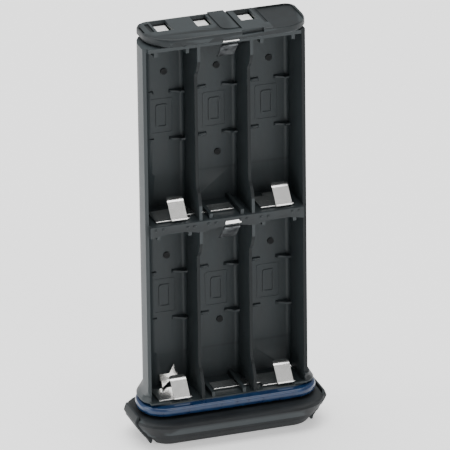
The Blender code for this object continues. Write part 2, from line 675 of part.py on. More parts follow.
def combine_placed(body, makers, operation):
    """As combine, for a body whose origin is not the world's."""
    for maker in makers:
        bmesh.ops.translate(maker, verts=maker.verts, vec=-body.location)
    place = body.location.copy()
    body.location = (0, 0, 0)
    combine(body, makers, operation)
    body.location = place


def make_spring(side):
    """Coil spring between the base and the lever's finger pad."""
    name = "right" if side > 0 else "left"
    steps = SPRING_TURNS * 10
    maker = bmesh.new()
    loops = []
    for i in range(steps + 1):
        angle = math.tau * i / 10
        radial = Vector((0, math.cos(angle), math.sin(angle)))
        centre = Vector((SPRING_START + SPRING_LENGTH * i / steps, 0, SPRING_Z)) + SPRING_COIL * radial
        ring = []
        for turn in range(6):
            around = math.tau * turn / 6
            point = centre + SPRING_WIRE * (radial * math.cos(around) + Vector((math.sin(around), 0, 0)))
            ring.append(maker.verts.new((side * point.x, point.y, point.z)))
        loops.append(ring)
    for ring, following in zip(loops, loops[1:]):
        for j in range(6):
            k = (j + 1) % 6
            maker.faces.new((ring[j], ring[k], following[k], following[j]))
    maker.faces.new(loops[0])
    maker.faces.new(loops[-1])
    add_object("latch_spring_" + name, maker, "steel")


def make_screws():
    for x, name in zip(SCREW_X, ("left", "right")):
        head = cylinder((x, 0, 0.5 * MM), (0, 0, 1), 1.9 * MM, 1.4 * MM, 20)
        screw = add_object("base_screw_" + name, head, "steel")
        shank = cylinder((x, 0, 1.5 * MM), (0, 0, 1), 1.0 * MM, 9.6 * MM, 14)
        combine(screw, [shank], "UNION")


def main():
    for existing in list(bpy.data.objects):
        bpy.data.objects.remove(existing, do_unlink=True)
    make_tray()
    make_links()
    make_positive_output()
    make_row_link()
    make_return_contact()
    for name, column, end, facing in NEGATIVE_ENDS:
        make_leaf(name, column, end, facing)
    make_strap()
    make_cap()
    make_board()
    make_seal()
    make_base()
    for side in (-1, 1):
        make_latch(side)
        make_spring(side)
    make_screws()


main()
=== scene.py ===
# %% [markdown]
# # Six-cell battery tray
# A slim black tray holds six AA cells in two rows of three, and plugs into a waterproof radio.
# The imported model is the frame: it holds the shape that works and moves. This notebook gives
# each piece its finished surface, and never moves or resizes what the frame holds. Sizes are
# written in millimetres and turned to metres once, because that is how such a tray is drawn.

# %% Load the frame
import math

import bmesh
import bpy
from mathutils import Matrix, Vector


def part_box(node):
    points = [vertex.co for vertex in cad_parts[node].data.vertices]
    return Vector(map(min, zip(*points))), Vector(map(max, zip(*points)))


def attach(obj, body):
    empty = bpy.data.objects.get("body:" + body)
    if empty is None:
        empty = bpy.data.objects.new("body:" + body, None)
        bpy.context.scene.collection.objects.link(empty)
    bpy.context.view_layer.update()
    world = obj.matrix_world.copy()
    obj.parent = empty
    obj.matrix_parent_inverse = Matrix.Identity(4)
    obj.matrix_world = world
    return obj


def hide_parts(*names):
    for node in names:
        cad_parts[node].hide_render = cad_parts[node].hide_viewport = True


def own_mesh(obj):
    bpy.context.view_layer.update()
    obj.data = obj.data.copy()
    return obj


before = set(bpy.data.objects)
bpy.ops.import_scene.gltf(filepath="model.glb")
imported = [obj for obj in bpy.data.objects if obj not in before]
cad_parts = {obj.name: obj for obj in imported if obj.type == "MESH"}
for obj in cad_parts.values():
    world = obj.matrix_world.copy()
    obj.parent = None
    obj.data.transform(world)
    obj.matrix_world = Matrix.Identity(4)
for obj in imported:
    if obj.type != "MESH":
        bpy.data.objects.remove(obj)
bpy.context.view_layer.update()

MM = 0.001


def span(node):
    """Lowest and highest corner of a CAD node, in millimetres."""
    low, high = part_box(node)
    return low / MM, high / MM


# %% [markdown]
# ## Camera
# A long lens far away keeps upright edges nearly parallel, as in a catalogue picture of a small
# part. The camera could be placed by eye, but an angle round the part, a height and a small roll
# say the same thing in three numbers that can be changed on their own.

# %% Camera
CAMERA_TURN = math.radians(-18.35)
CAMERA_RISE = math.radians(23.157)
CAMERA_ROLL = math.radians(0.729)
CAMERA_DISTANCE = 1.8835        # metres from the point that it looks at
CAMERA_TARGET = Vector((0.963, 1.05, 62.76)) * MM
SENSOR_WIDTH = 36.0             # mm, and the lens too
FOCAL_LENGTH = 524.4

lens = bpy.data.cameras.new("camera")
lens.sensor_width = SENSOR_WIDTH
lens.lens = FOCAL_LENGTH
lens.clip_end = 10.0
camera = bpy.data.objects.new("camera", lens)
bpy.context.scene.collection.objects.link(camera)
bpy.context.scene.camera = camera

away = Vector((math.sin(CAMERA_TURN) * math.cos(CAMERA_RISE),
               -math.cos(CAMERA_TURN) * math.cos(CAMERA_RISE), math.sin(CAMERA_RISE)))
level = Vector((math.cos(CAMERA_TURN), math.sin(CAMERA_TURN), 0))
up = away.cross(level)
right = level * math.cos(CAMERA_ROLL) - up * math.sin(CAMERA_ROLL)
up = level * math.sin(CAMERA_ROLL) + up * math.cos(CAMERA_ROLL)
turned = Matrix((right, up, away)).transposed().to_4x4()
camera.matrix_world = Matrix.Translation(CAMERA_TARGET + away * CAMERA_DISTANCE) @ turned
print("camera at", [round(v, 3) for v in camera.location])

# %% [markdown]
# ## Small tools for materials
# Colours are picked as hex values, as on a screen, but Blender's light sums need linear numbers,
# so one function turns them. One more function adds any node, with its settings and its links.
# A group of ready-made nodes would hide what each finish is made of.

# %% Material helpers
def linear(hex_colour):
    """sRGB hex to linear RGBA."""
    channels = [int(hex_colour[i:i + 2], 16) / 255 for i in (1, 3, 5)]
    return [c / 12.92 if c <= 0.04045 else ((c + 0.055) / 1.055) ** 2.4 for c in channels] + [1.0]


def add_node(tree, kind, values=None, links=None, **settings):
    """Add one node; `values` and `links` are keyed by its input sockets' names or numbers."""
    node = tree.nodes.new(kind)
    for name, value in settings.items():
        setattr(node, name, value)
    for key, value in (values or {}).items():
        node.inputs[key].default_value = value
    for key, socket in (links or {}).items():
        tree.links.new(socket, node.inputs[key])
    return node


def start_material(name):
    """An empty material with its output, its shader and the object's own coordinates."""
    made = bpy.data.materials.new(name)
    made.use_nodes = True
    made.node_tree.nodes.clear()
    tree = made.node_tree
    place = add_node(tree, "ShaderNodeTexCoord").outputs["Object"]
    shader = add_node(tree, "ShaderNodeBsdfPrincipled")
    add_node(tree, "ShaderNodeOutputMaterial", links={"Surface": shader.outputs[0]})
    return made, tree, place, shader


def fill_shader(tree, shader, links, values):
    """Link sockets into the shader and set its constants."""
    for name, socket in links.items():
        tree.links.new(socket, shader.inputs[name])
    for name, value in values.items():
        shader.inputs[name].default_value = value


print("material helpers ready")

# %% [markdown]
# ## Textures at real size
# A grain or a stain has a size in life, so these short tools take millimetres and turn them into
# the scale that a texture node wants. Each adds one node and hands back the socket that is used.
# They read the piece's own coordinates, so a finish rides with its piece when a joint moves.

# %% Texture tools
def noise(tree, place, size, detail, roughness=0.5):
    """Cloudy noise with features of about `size` mm."""
    values = {"Scale": 1 / (size * MM), "Detail": detail, "Roughness": roughness}
    return add_node(tree, "ShaderNodeTexNoise", values, {"Vector": place}).outputs[0]


def stretched(tree, place, stretch):
    """Coordinates scaled along each axis; a small scale makes marks long."""
    return add_node(tree, "ShaderNodeMapping", {"Scale": stretch}, {"Vector": place}).outputs[0]


def ramp(tree, factor, stops, colours):
    """Blend between two hex colours while the factor runs between two stops."""
    node = add_node(tree, "ShaderNodeValToRGB", links={"Fac": factor})
    for element, position, colour in zip(node.color_ramp.elements, stops, colours):
        element.position = position
        element.color = linear(colour)
    return node.outputs[0]


def blend(tree, factor, dark, light):
    """Straight mix of two hex colours."""
    return add_node(tree, "ShaderNodeMix", {6: linear(dark), 7: linear(light)}, {0: factor},
                    data_type="RGBA").outputs[2]


def rescale(tree, factor, low, high):
    """Turn 0 to 1 into `low` to `high`."""
    return add_node(tree, "ShaderNodeMapRange", {"To Min": low, "To Max": high},
                    {"Value": factor}).outputs[0]


def bumps(tree, height, strength, depth):
    """Surface relief `depth` mm deep."""
    return add_node(tree, "ShaderNodeBump", {"Strength": strength, "Distance": depth * MM},
                    {"Height": height}).outputs[0]


print("texture tools ready")

# %% [markdown]
# ## Black moulded ABS
# The tray, cap, base and levers are injection-moulded ABS filled with carbon black. The mould is
# spark eroded, which leaves a fine pitted grain, so the plastic looks dark grey and satin, never
# mirror black. Handling polishes the edges and leaves faint cloudy patches. The grain is a noise
# of 0.12 mm turned to bump, and it is drawn about twice as coarse as life so that it shows. The
# cloudy patches are a slow noise on colour and on roughness, and a stretched noise gives the
# lengthwise flow marks that a long thin moulding has. Two more skins come from the same recipe:
# a darker, smoother copy whose dark colour is painted shade, for the forward front edges of the
# dividers and the ejector pin marks, and the base and levers are tougher nylon, a deeper black
# with flow streaks running across.

# %% Black ABS
GRAIN = 0.12                    # mm between pits
PIT_DEPTH = 0.02
CLOUD = 9.0                     # mm across a patch
FLOW = 2.4                      # mm across a flow mark, before it is stretched
SHADE_STOPS = (0.34, 0.66)
EDGE_STOPS = (0.53, 0.60)       # pointiness where the rubbing starts and is full
RUBBED_GREY = "#5b6467"


def moulded_plastic(name, shades, rub, skin, sheen, flow_stretch, pitting):
    """Black plastic: cloudy patches, flow marks along the long side, rubbed edges, pits."""
    made, tree, place, shader = start_material(name)
    grain = noise(tree, place, GRAIN, 2.0, 0.6)
    cloud = noise(tree, place, CLOUD, 4.0, 0.65)
    flow = noise(tree, stretched(tree, place, flow_stretch), FLOW, 3.0, 0.7)
    patches = add_node(tree, "ShaderNodeMix", {0: 0.5}, {2: cloud, 3: flow}).outputs[0]
    edge = add_node(tree, "ShaderNodeNewGeometry").outputs["Pointiness"]
    rubbed = add_node(tree, "ShaderNodeMapRange",
                      {"From Min": EDGE_STOPS[0], "From Max": EDGE_STOPS[1], "To Max": rub},
                      {"Value": edge}).outputs[0]
    worn = add_node(tree, "ShaderNodeMix", {7: linear(RUBBED_GREY)},
                    {0: rubbed, 6: ramp(tree, patches, SHADE_STOPS, shades)},
                    data_type="RGBA").outputs[2]
    fill_shader(tree, shader,
                {"Base Color": worn, "Roughness": rescale(tree, patches, *skin),
                 "Normal": bumps(tree, grain, pitting, PIT_DEPTH)},
                {"IOR": 1.53, "Specular IOR Level": sheen})
    print("made", made.name)
    return made


UPRIGHT_FLOW = (1.0, 1.0, 0.12)
CROSS_FLOW = (0.10, 1.0, 1.0)
abs_black = moulded_plastic("moulded_black_abs", ("#0e1315", "#1a2124"), 0.2, (0.40, 0.60),
                            0.33, UPRIGHT_FLOW, 0.22)
# darker copy of the black plastic: painted shade for the forward front edges and the pin marks
abs_painted_shade = moulded_plastic("black_abs_painted_shade", ("#070809", "#0c0e0f"), 0.10, (0.34, 0.46),
                               0.14, UPRIGHT_FLOW, 0.05)
nylon_black = moulded_plastic("moulded_black_nylon", ("#0a0c0e", "#1c2023"), 0.25, (0.44, 0.66),
                              0.25, CROSS_FLOW, 0.3)

# %% [markdown]
# ## Blue silicone
# The seal is a soft moulded silicone ring. It is smooth, a little waxy and usually carries a thin
# film of grease, so it shows one long clear highlight along its crown. Dust sticks to it, which
# lifts the blue slightly in patches. A clear coat stands for the grease over a softer body.

# %% Blue silicone
silicone_blue, tree, place, shader = start_material("greased_blue_silicone")
dust = noise(tree, place, 3.0, 5.0, 0.7)
wax = noise(tree, place, 0.3, 2.0)
fill_shader(tree, shader,
            {"Base Color": ramp(tree, dust, (0.35, 0.75), ("#0a2143", "#14365a")),
             "Roughness": rescale(tree, dust, 0.22, 0.36), "Normal": bumps(tree, wax, 0.08, 0.02)},
            {"IOR": 1.43, "Coat Weight": 0.3, "Coat Roughness": 0.18})
print("made", silicone_blue.name)

# %% [markdown]
# ## Metals
# The cell contacts are thin spring steel, rolled, stamped and then plated with nickel, which is
# nearly white and keeps the faint rolling lines. The hanging leaves turn their underside forward,
# away from the light, so their steel is painted dark and made rougher: painted shade. The pads on
# the board are soft tin. The screws, pins and coil springs are plain steel with a greyer, rougher
# skin. All four are one recipe with other numbers: a metal shader whose roughness and bump follow
# a noise that is stretched along the rolling direction.

# %% Plated and plain steel
STAIN = 1.8                     # mm across a stain
LINE_DEPTH = 0.01


def rolled_metal(name, shades, skin, line_gap, stretch, depth):
    """Metal with lines `line_gap` mm apart, stretched along X."""
    made, tree, place, shader = start_material(name)
    lines = noise(tree, stretched(tree, place, (1 / stretch, 1.0, 1.0)), line_gap, 3.0, 0.6)
    stain = noise(tree, place, STAIN, 4.0)
    fill_shader(tree, shader,
                {"Base Color": ramp(tree, stain, (0.3, 0.65), shades),
                 "Roughness": rescale(tree, lines, *skin),
                 "Normal": bumps(tree, lines, depth, LINE_DEPTH)},
                {"Metallic": 1.0})
    print("made", made.name)
    return made


nickel = rolled_metal("nickel_plated_spring_steel", ("#f1f0ed", "#fdfcfa"), (0.2, 0.3),
                      0.15, 12, 0.03)
# darker, duller steel: painted shade for the hanging leaves and their roots
steel_painted_shade = rolled_metal("spring_steel_painted_shade", ("#2b2d2f", "#6d7072"), (0.42, 0.62), 0.2, 6, 0.06)
tin = rolled_metal("tin_plated_copper", ("#efefec", "#ffffff"), (0.5, 0.7), 0.25, 2, 0.05)
steel = rolled_metal("zinc_plated_steel", ("#8b8e90", "#b9bcbd"), (0.28, 0.46), 0.2, 3, 0.08)

# %% [markdown]
# ## Board and its parts
# A small glass-epoxy board under the cap carries the three pads. Solder mask is a thin green
# lacquer over a woven glass sheet, whose weave shows as a faint ripple. The fuse and the resistor
# are moulded epoxy, one ochre and one dark, with a slightly chalky skin.

# %% Solder mask and epoxy
WEAVE = 0.45                    # mm between glass threads
CHALK = 0.1                     # mm across a speck


def glass_threads(tree, place, direction):
    """Ripple of the glass threads that run one way."""
    return add_node(tree, "ShaderNodeTexWave", {"Scale": 1 / (WEAVE * 2 * MM), "Distortion": 0.6},
                    {"Vector": place}, bands_direction=direction).outputs["Fac"]


def epoxy(name, dark, light):
    """Moulded epoxy with a chalky speckle."""
    made, tree, place, shader = start_material(name)
    speck = noise(tree, place, CHALK, 3.0)
    fill_shader(tree, shader, {"Base Color": blend(tree, speck, dark, light)}, {"Roughness": 0.55})
    return made


board_green, tree, place, shader = start_material("green_solder_mask")
weave = add_node(tree, "ShaderNodeMath",
                 links={0: glass_threads(tree, place, "X"), 1: glass_threads(tree, place, "Y")},
                 operation="MULTIPLY").outputs[0]
fill_shader(tree, shader, {"Base Color": blend(tree, weave, "#173a20", "#22502c"),
                           "Normal": bumps(tree, weave, 0.1, 0.02)}, {"Roughness": 0.35})
fuse_ochre = epoxy("ochre_epoxy", "#8a5a18", "#b27c2c")
resistor_dark = epoxy("dark_epoxy", "#1d1d1f", "#343437")
print("made", board_green.name, fuse_ochre.name, resistor_dark.name)

# %% [markdown]
# ## Finished copies of moulded pieces
# The frame's solids are exact but razor edged, and their mesh is loose triangles. A real moulding
# has a small radius on every edge, and that is what catches the light. So a copy is merged, its
# flat faces joined again, and a small bevel run round every edge. Modelling each piece afresh
# would also work, but the copy can't drift from the frame's shape.


def new_piece(name, mesh, finish):
    """An object at the origin with one finish."""
    piece = bpy.data.objects.new(name, mesh)
    bpy.context.scene.collection.objects.link(piece)
    mesh.materials.clear()
    mesh.materials.append(finish)
    return piece


def bake(piece):
    """Apply every modifier, so that the piece is a plain mesh."""
    evaluated = piece.evaluated_get(bpy.context.evaluated_depsgraph_get())
    mesh = bpy.data.meshes.new_from_object(evaluated)
    piece.modifiers.clear()
    piece.data = mesh
    return piece


def smooth(piece):
    """Smooth shading that keeps real edges sharp."""
    piece.data.shade_smooth()
    piece.data.set_sharp_from_angle(angle=math.radians(38))


# %% Merge, cut and bevel
MERGE = 0.002                   # mm between points that are one
FLAT = math.radians(0.6)        # faces closer than this are one


def merged_copy(node, name, finish):
    """A copy of a CAD node with its triangles joined and its flat faces made whole again."""
    maker = bmesh.new()
    maker.from_mesh(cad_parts[node].data)
    bmesh.ops.remove_doubles(maker, verts=maker.verts, dist=MERGE * MM)
    bmesh.ops.dissolve_limit(maker, angle_limit=FLAT, verts=maker.verts, edges=maker.edges)
    mesh = bpy.data.meshes.new(name)
    maker.to_mesh(mesh)
    maker.free()
    return new_piece(name, mesh, finish)


def cut(piece, tools, operation="DIFFERENCE"):
    """Boolean a piece with other meshes, which are then thrown away."""
    for tool in tools:
        helper = bpy.data.objects.new("helper", tool)
        bpy.context.scene.collection.objects.link(helper)
        modifier = piece.modifiers.new("shape", "BOOLEAN")
        modifier.operation = operation
        modifier.solver = "EXACT"
        modifier.object = helper
        bake(piece)
        bpy.data.objects.remove(helper, do_unlink=True)


def soften(piece, radius):
    """Bevel of `radius` mm round every real edge; the wide faces stay flat to the light."""
    modifier = piece.modifiers.new("edges", "BEVEL")
    modifier.width = radius * MM
    modifier.segments = 2
    modifier.limit_method = "ANGLE"
    modifier.angle_limit = math.radians(32)
    bake(piece)
    smooth(piece)
    even = piece.modifiers.new("even", "WEIGHTED_NORMAL")
    even.keep_sharp = True
    bake(piece)


print("shape tools ready")


# %% Attach a finished piece
def settle(piece, body, *nodes):
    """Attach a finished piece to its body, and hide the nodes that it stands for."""
    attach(piece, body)
    if nodes:
        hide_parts(*nodes)
    return piece


def finished_copy(node, name, finish, body, radius):
    """A softened copy that stands for its node."""
    piece = merged_copy(node, name, finish)
    soften(piece, radius)
    return settle(piece, body, node)


print("attaching tools ready")

# %% [markdown]
# ## Where the bays are
# Everything inside the tray is placed from the frame: the columns from the contact plates that
# lie across them, and the floors and ceilings from the levels of the contacts.

# %% Bays
first_plate = span("contact_l1_negative")
last_plate = span("link_u3_to_l3")
GAP = 0.3                       # mm between a contact and its floor or ceiling
left_column = (first_plate[0].x + first_plate[1].x) / 2
right_column = (last_plate[0].x + last_plate[1].x) / 2
COLUMNS = (left_column, (left_column + right_column) / 2, right_column)
LOWER_FLOOR = first_plate[0].z - GAP
UPPER_FLOOR = span("link_u1_to_u2")[0].z - GAP
BAY_LENGTH = span("link_l2_to_l1")[1].z + GAP - LOWER_FLOOR
BAY_BACK = 7.05                 # y of the bays' back wall
RIB_FRONT = -6.75               # y of the end walls' front edge
CLEAR_HALF = 7.3                # from a column's middle to just inside its dividers
WALL_HALF = 7.75                # and to just inside the divider's own thickness
print("columns", [round(c, 2) for c in COLUMNS])
print("floors", round(LOWER_FLOOR, 2), round(UPPER_FLOOR, 2))

# %% [markdown]
# ## Tray
# The tray is one long moulding with three bays over three, thin walls and open front. Where each
# saddle rib meets a divider the mould leaves a small web, hollowed for the cell, and between the
# two webs the rib is cut back to the floor. The webs are the dark ticks at each side of a bay.
# They are added to the copy before its edges are softened, so that the bevel runs round them too.

# %% Prisms
def prism(outline, axis, low, high):
    """Mesh of a closed outline in millimetres, run from `low` to `high` along X, Y or Z."""
    order = {"X": (2, 0, 1), "Y": (0, 2, 1), "Z": (0, 1, 2)}[axis]
    maker = bmesh.new()
    rings = []
    for end in (low, high):
        points = [tuple(((a, b, end)[order[i]]) * MM for i in range(3)) for a, b in outline]
        rings.append([maker.verts.new(point) for point in points])
    maker.faces.new(rings[0][::-1])
    maker.faces.new(rings[1])
    for i in range(len(outline)):
        j = (i + 1) % len(outline)
        maker.faces.new((rings[0][i], rings[0][j], rings[1][j], rings[1][i]))
    bmesh.ops.recalc_face_normals(maker, faces=maker.faces)
    mesh = bpy.data.meshes.new("prism")
    maker.to_mesh(mesh)
    maker.free()
    return mesh


print("prism tool ready")

# %% Tray moulding
SADDLE_RADIUS = 10.5            # shallower than the cell's own, so that the cell rocks in
SADDLE_LEVELS = (20.8, 35.4)    # over each bay's floor
TICKS = {-1: (1.5, 4.6), 1: (3.2, 6.2)}         # start and end of each web's hollow edge
WEB_HALF = 0.3                  # half a web's thickness
WEB_PROUD = 0.5                 # least that it stands off the back wall
WEB_ROOT = 0.4                  # how far it runs into the back wall
RELIEF_FRONT = 5.5              # y where the cut into a rib starts
RELIEF_HALF = 0.8


def web(column, side, level):
    """Web at one end of a saddle rib, hollowed for the cell."""
    near, far = TICKS[side]
    hollow = []
    for i in range(7):
        x = near + (far - near) * i / 6
        rise = SADDLE_RADIUS - math.sqrt(SADDLE_RADIUS ** 2 - x ** 2)
        hollow.append((column + side * x, BAY_BACK - max(rise, WEB_PROUD)))
    wall = column + side * WALL_HALF
    outline = ([(column + side * near, BAY_BACK + WEB_ROOT)] + hollow
               + [(wall, hollow[-1][1]), (wall, BAY_BACK + WEB_ROOT)])
    return prism(outline, "Z", level - WEB_HALF, level + WEB_HALF)


def relief(column, level):
    """Cutter that takes the middle of a saddle rib back to the floor."""
    left, right = column - TICKS[-1][0], column + TICKS[1][0]
    middle = [(left, RELIEF_FRONT), (right, RELIEF_FRONT), (right, BAY_BACK), (left, BAY_BACK)]
    return prism(middle, "Z", level - RELIEF_HALF, level + RELIEF_HALF)


webs, reliefs = [], []
for floor in (LOWER_FLOOR, UPPER_FLOOR):
    for number, column in enumerate(COLUMNS):
        for level in (floor + SADDLE_LEVELS[0], floor + SADDLE_LEVELS[1]):
            reliefs.append(relief(column, level))
            webs += [web(column, side, level) for side in (-1, 1) if (number, side) != (0, -1)]
tray = merged_copy("tray_body", "tray_moulding", abs_black)
cut(tray, reliefs)
cut(tray, webs, "UNION")
soften(tray, 0.14)
print("tray faces:", len(tray.data.polygons), "webs:", len(webs))

# %% [markdown]
# ## Painted shade on the front edges
# The front edges of the dividers and of the right wall get the second finish, a smoother copy of
# the black plastic painted darker: painted shade, so that they read as dark as the shaded walls
# beside them. The faces that look forward and lie over a divider get it; painting a mask would
# also work, but a test on place and direction needs no image.

# %% Faces with painted shade
FRONT_LIMIT = -1.0              # y; the front edges are all nearer than this
BAYS_TOP = 122.0                # z; the cap starts over this


def gets_painted_shade(face):
    """Whether a tray face is a front edge of a divider or of the right wall."""
    spot = face.center / MM
    in_bays = LOWER_FLOOR + 0.5 < spot.z < BAYS_TOP
    if face.normal.y >= -0.3 or spot.y >= FRONT_LIMIT or not in_bays:
        return False
    between_bays = COLUMNS[0] + CLEAR_HALF < spot.x < COLUMNS[2] - CLEAR_HALF
    on_divider = between_bays and abs(spot.x - COLUMNS[1]) > CLEAR_HALF
    return on_divider or spot.x > COLUMNS[2] + CLEAR_HALF


# second slot: the darker finish, painted shade on the forward front edges
tray.data.materials.append(abs_painted_shade)
painted_shade_faces = [face for face in tray.data.polygons if gets_painted_shade(face)]
for face in painted_shade_faces:
    face.material_index = 1
settle(tray, "tray", "tray_body")
print("polished faces:", len(painted_shade_faces))

# %% [markdown]
# ## Marks on the bay floors
# Each bay floor carries the round marks of the mould's ejector pins, and a raised picture of a
# cell that shows which way round it goes. Both repeat, so Geometry Nodes place one shape on a
# set of points: a flat disc for the pins, and for the picture a rounded outline that follows a
# curve. Engraving them with booleans would be slower and leave no size to turn later.

# %% Node tools
def node_tree(name, inputs):
    """A geometry node tree with a Geometry input and output and the named inputs."""
    tree = bpy.data.node_groups.new(name, "GeometryNodeTree")
    tree.interface.new_socket("Geometry", in_out="INPUT", socket_type="NodeSocketGeometry")
    for label, kind in inputs:
        tree.interface.new_socket(label, in_out="INPUT", socket_type="NodeSocket" + kind)
    tree.interface.new_socket("Geometry", in_out="OUTPUT", socket_type="NodeSocketGeometry")
    return tree, add_node(tree, "NodeGroupInput").outputs


def end_tree(tree, geometry, finish):
    """Make instances real, set the finish and hand the result out."""
    real = add_node(tree, "GeometryNodeRealizeInstances", links={0: geometry})
    coated = add_node(tree, "GeometryNodeSetMaterial", {"Material": finish},
                      {"Geometry": real.outputs[0]})
    add_node(tree, "NodeGroupOutput", links={0: coated.outputs[0]})


def grown(name, tree, points, values, finish):
    """Run a tree on loose points (mm) and return its result as one plain mesh."""
    mesh = bpy.data.meshes.new(name)
    mesh.from_pydata([tuple(c * MM for c in point) for point in points], [], [])
    piece = new_piece(name, mesh, finish)
    modifier = piece.modifiers.new("grow", "NODES")
    modifier.node_group = tree
    sockets = {item.name: item.identifier for item in tree.interface.items_tree
               if item.in_out == "INPUT"}
    for label, value in values.items():
        modifier[sockets[label]] = value
    bake(piece)
    piece.data.materials.clear()
    piece.data.materials.append(finish)
    return piece


print("tree helpers ready")

# %% [markdown]
# ## Ejector pin marks
# Round steel pins push the moulding out, and each leaves a low round boss on the floor of a bay.
# The marks get the darker finish: painted shade that makes each boss a dark spot. A cylinder laid
# on its back is put on every point, and a tree of nodes keeps its radius and height as numbers to
# turn later.

# %% Ejector pin marks
PINS_UPPER = ((0, 41.6), (1, 41.4), (2, 41.5), (1, 14.7))       # column, height over the floor
PINS_LOWER = ((0, 40.6), (2, 40.4), (1, 18.1))
PIN_ASIDE = 1.8                 # right of the column's middle
QUARTER_TURN = (math.radians(90), 0, 0)          # about X, so that Z comes to lie along Y

pin_tree, given = node_tree("ejector_marks", [("Radius", "Float"), ("Height", "Float")])
pin = add_node(pin_tree, "GeometryNodeMeshCylinder", {"Vertices": 28, "Side Segments": 1},
               {"Radius": given["Radius"], "Depth": given["Height"]})
laid_pin = add_node(pin_tree, "GeometryNodeTransform", {"Rotation": QUARTER_TURN},
                    {"Geometry": pin.outputs["Mesh"]})
pins = add_node(pin_tree, "GeometryNodeInstanceOnPoints",
                links={"Points": given["Geometry"], "Instance": laid_pin.outputs[0]})
# the marks take the darker finish, painted shade
end_tree(pin_tree, pins.outputs[0], abs_painted_shade)

pin_points = [(COLUMNS[column] + PIN_ASIDE, BAY_BACK, floor + rise)
              for floor, rises in ((UPPER_FLOOR, PINS_UPPER), (LOWER_FLOOR, PINS_LOWER))
              for column, rise in rises]
pin_marks = grown("ejector_pin_marks", pin_tree, pin_points,
                  {"Radius": 1.0 * MM, "Height": 0.7 * MM}, abs_painted_shade)
soften(pin_marks, 0.1)
settle(pin_marks, "tray")
print("ejector marks:", len(pin_points))

# %% [markdown]
# ## Cell pictures
# A raised outline of a cell inside a raised frame shows where each cell lies. Both are the same
# rounded rectangle at two sizes, drawn as a curve with a small square section run along it. That
# gives clean corners, where an extruded letter or a bump would look soft.

# %% Cell pictures
PICTURE_ASIDE = 1.0             # right of the column's middle
PICTURE_RISE = 28.0             # over the bay's floor
BODY_SIZES = {"Width": 3.0, "Height": 6.6, "Line": 0.55, "Relief": 0.5}
FRAME_SIZES = {"Width": 6.6, "Height": 10.4, "Line": 0.35, "Relief": 0.24}

picture_tree, given = node_tree("cell_pictures", [(label, "Float") for label in BODY_SIZES])
edge_line = add_node(picture_tree, "GeometryNodeCurvePrimitiveQuadrilateral",
                     links={"Width": given["Width"], "Height": given["Height"]})
rounded_line = add_node(picture_tree, "GeometryNodeFilletCurve", {"Radius": 0.5 * MM, "Count": 4},
                        {"Curve": edge_line.outputs[0]}, mode="POLY")
section = add_node(picture_tree, "GeometryNodeCurvePrimitiveQuadrilateral",
                   links={"Width": given["Line"], "Height": given["Relief"]})
raised_line = add_node(picture_tree, "GeometryNodeCurveToMesh", {"Fill Caps": True},
                       {"Curve": rounded_line.outputs[0], "Profile Curve": section.outputs[0]})
upright = add_node(picture_tree, "GeometryNodeTransform", {"Rotation": QUARTER_TURN},
                   {"Geometry": raised_line.outputs[0]})
pictures = add_node(picture_tree, "GeometryNodeInstanceOnPoints",
                    links={"Points": given["Geometry"], "Instance": upright.outputs[0]})
end_tree(picture_tree, pictures.outputs[0], abs_black)

picture_points = [(column + PICTURE_ASIDE, BAY_BACK, floor + PICTURE_RISE)
                  for floor in (LOWER_FLOOR, UPPER_FLOOR) for column in COLUMNS]
for name, sizes_mm in (("cell_picture_bodies", BODY_SIZES), ("cell_picture_frames", FRAME_SIZES)):
    values = {label: size * MM for label, size in sizes_mm.items()}
    marks = grown(name, picture_tree, picture_points, values, abs_black)
    smooth(marks)
    settle(marks, "tray")
print("cell pictures:", len(picture_points))

# %% [markdown]
# ## End walls' front band
# The wall between the two rows ends in a scalloped lip: its lower edge arches over each lower
# cell so that a fingertip can get behind it, and shallow pads stand on its face where the contact
# strips are staked. It is one outline with an arch for each column, pulled forward a little.

# %% Scalloped band
WALL_LOW = LOWER_FLOOR + BAY_LENGTH
BAND_PROUD = 0.35               # how far the band stands in front of the wall's edge
BAND_SINK = 0.15                # and how far it runs into the wall
BAND_DROP = 0.7                 # how far it hangs under the wall
ARCH = 13.8                     # mm across one arch
ARCH_RISE = 1.0


def arched_band(low, high):
    """Outline (x, z) of a band whose lower edge arches over each column."""
    left, right = COLUMNS[0] - CLEAR_HALF, COLUMNS[2] + CLEAR_HALF
    lower = []
    for column in COLUMNS:
        for i in range(11):
            x = -ARCH / 2 + ARCH * i / 10
            lower.append((column + x, low + ARCH_RISE * math.cos(math.pi * x / ARCH)))
    return [(left, low)] + lower + [(right, low), (right, high), (left, high)]


band_outline = arched_band(WALL_LOW - BAND_DROP, UPPER_FLOOR - 0.1)
band_mesh = prism(band_outline, "Y", RIB_FRONT - BAND_PROUD, RIB_FRONT + BAND_SINK)
band = new_piece("row_wall_band", band_mesh, abs_black)
soften(band, 0.15)
settle(band, "tray")
print("band faces:", len(band.data.polygons))

# %% [markdown]
# ## Heat stakes
# The contact strips are held by small plastic studs whose heads are melted flat. They come in
# pairs over each bay and none is quite level with the next, because they are melted by hand. The
# tree of the ejector marks draws them too, at half the size.

# %% Heat stakes
STAKES_ACROSS = (-5.6, -3.4, 3.9, 5.9)
STAKE_RISE = 1.5                # over the band's lower edge
STAKE_WANDER = 0.25

stake_points = []
for number, column in enumerate(COLUMNS):
    for x in STAKES_ACROSS:
        wander = STAKE_WANDER * math.sin(3 * x + number)
        stake_points.append((column + x, RIB_FRONT - BAND_PROUD, WALL_LOW + STAKE_RISE + wander))
stakes = grown("heat_stakes", pin_tree, stake_points,
               {"Radius": 0.5 * MM, "Height": 0.36 * MM}, abs_black)
soften(stakes, 0.08)
settle(stakes, "tray")
print("stakes:", len(stake_points))

# %% [markdown]
# ## Spring leaves
# Each negative contact ends in a leaf of thin spring steel. It is stamped flat, then bent: a
# rolled root, a straight blade that leans back over its plate, and a lip curled away from the
# cell so that it doesn't dig in. The blade is a strip run along that side view, with its top
# corners clipped. The frame's leaf gives the root, the lean and the width.

